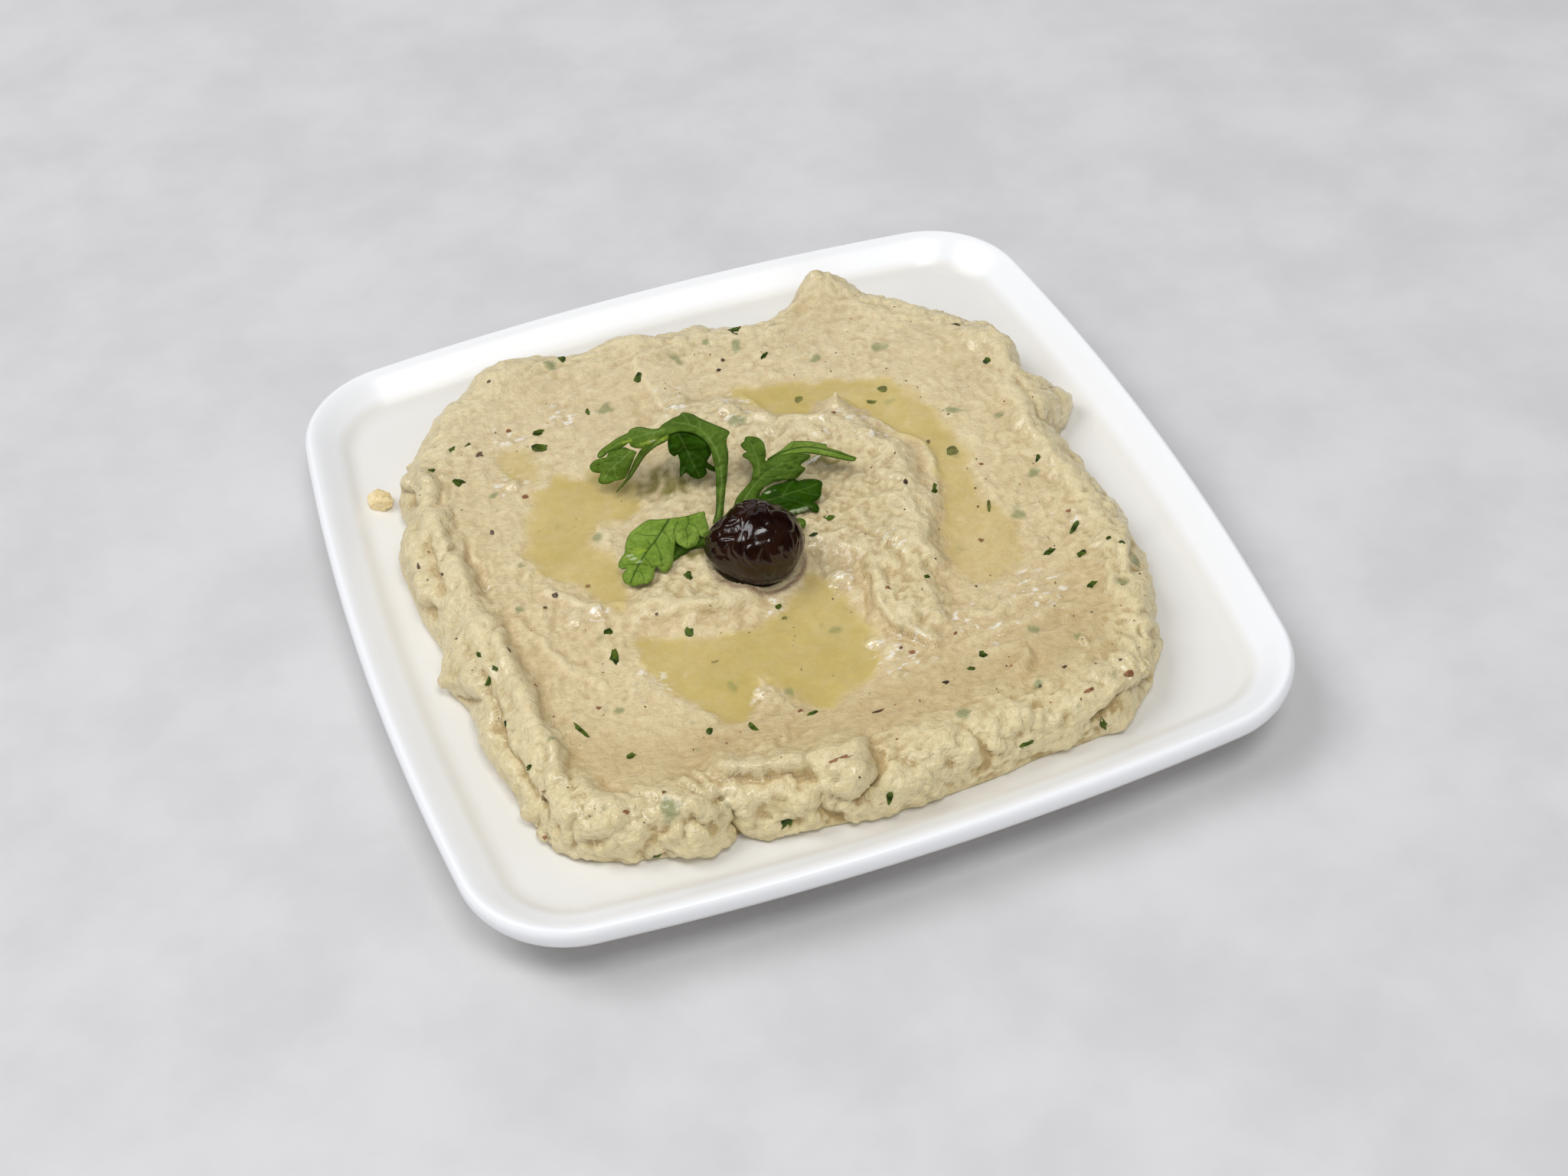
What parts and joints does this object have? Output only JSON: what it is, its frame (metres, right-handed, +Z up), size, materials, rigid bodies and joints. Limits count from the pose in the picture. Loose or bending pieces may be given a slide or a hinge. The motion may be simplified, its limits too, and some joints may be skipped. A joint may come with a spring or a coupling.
{
  "type": "baba ganoush on a square dish",
  "caption": "Baba ganoush spread in folds over a square white porcelain dish, with pools of olive oil, a black olive and a sprig of parsley on top.",
  "frame": {"origin": "centre of the dish at the level it stands on", "axes": "+Z up; the dish's near side faces -Y and its right side +X"},
  "size_m": [0.18, 0.18, 0.0351],
  "materials": {
    "porcelain": "glossy white glaze, faintly warm in the well",
    "dip": "moist, finely lumpy aubergine paste with a low sheen",
    "olive_oil": "clear, thin, yellow-green oil with a mirror-smooth surface",
    "olive_skin": "wet, wrinkled purple-black skin",
    "parsley_green": "fresh leaf, paler underneath, with a low sheen"
  },
  "bodies": {
    "root": {"dish": "porcelain", "baba_ganoush": "dip", "dip_crumb": "dip", "oil_pool_left": "olive_oil", "oil_pool_small": "olive_oil", "oil_pool_front": "olive_oil", "oil_pool_right": "olive_oil", "olive": "olive_skin", "parsley_sprig": "parsley_green"}
  },
  "joints": []
}
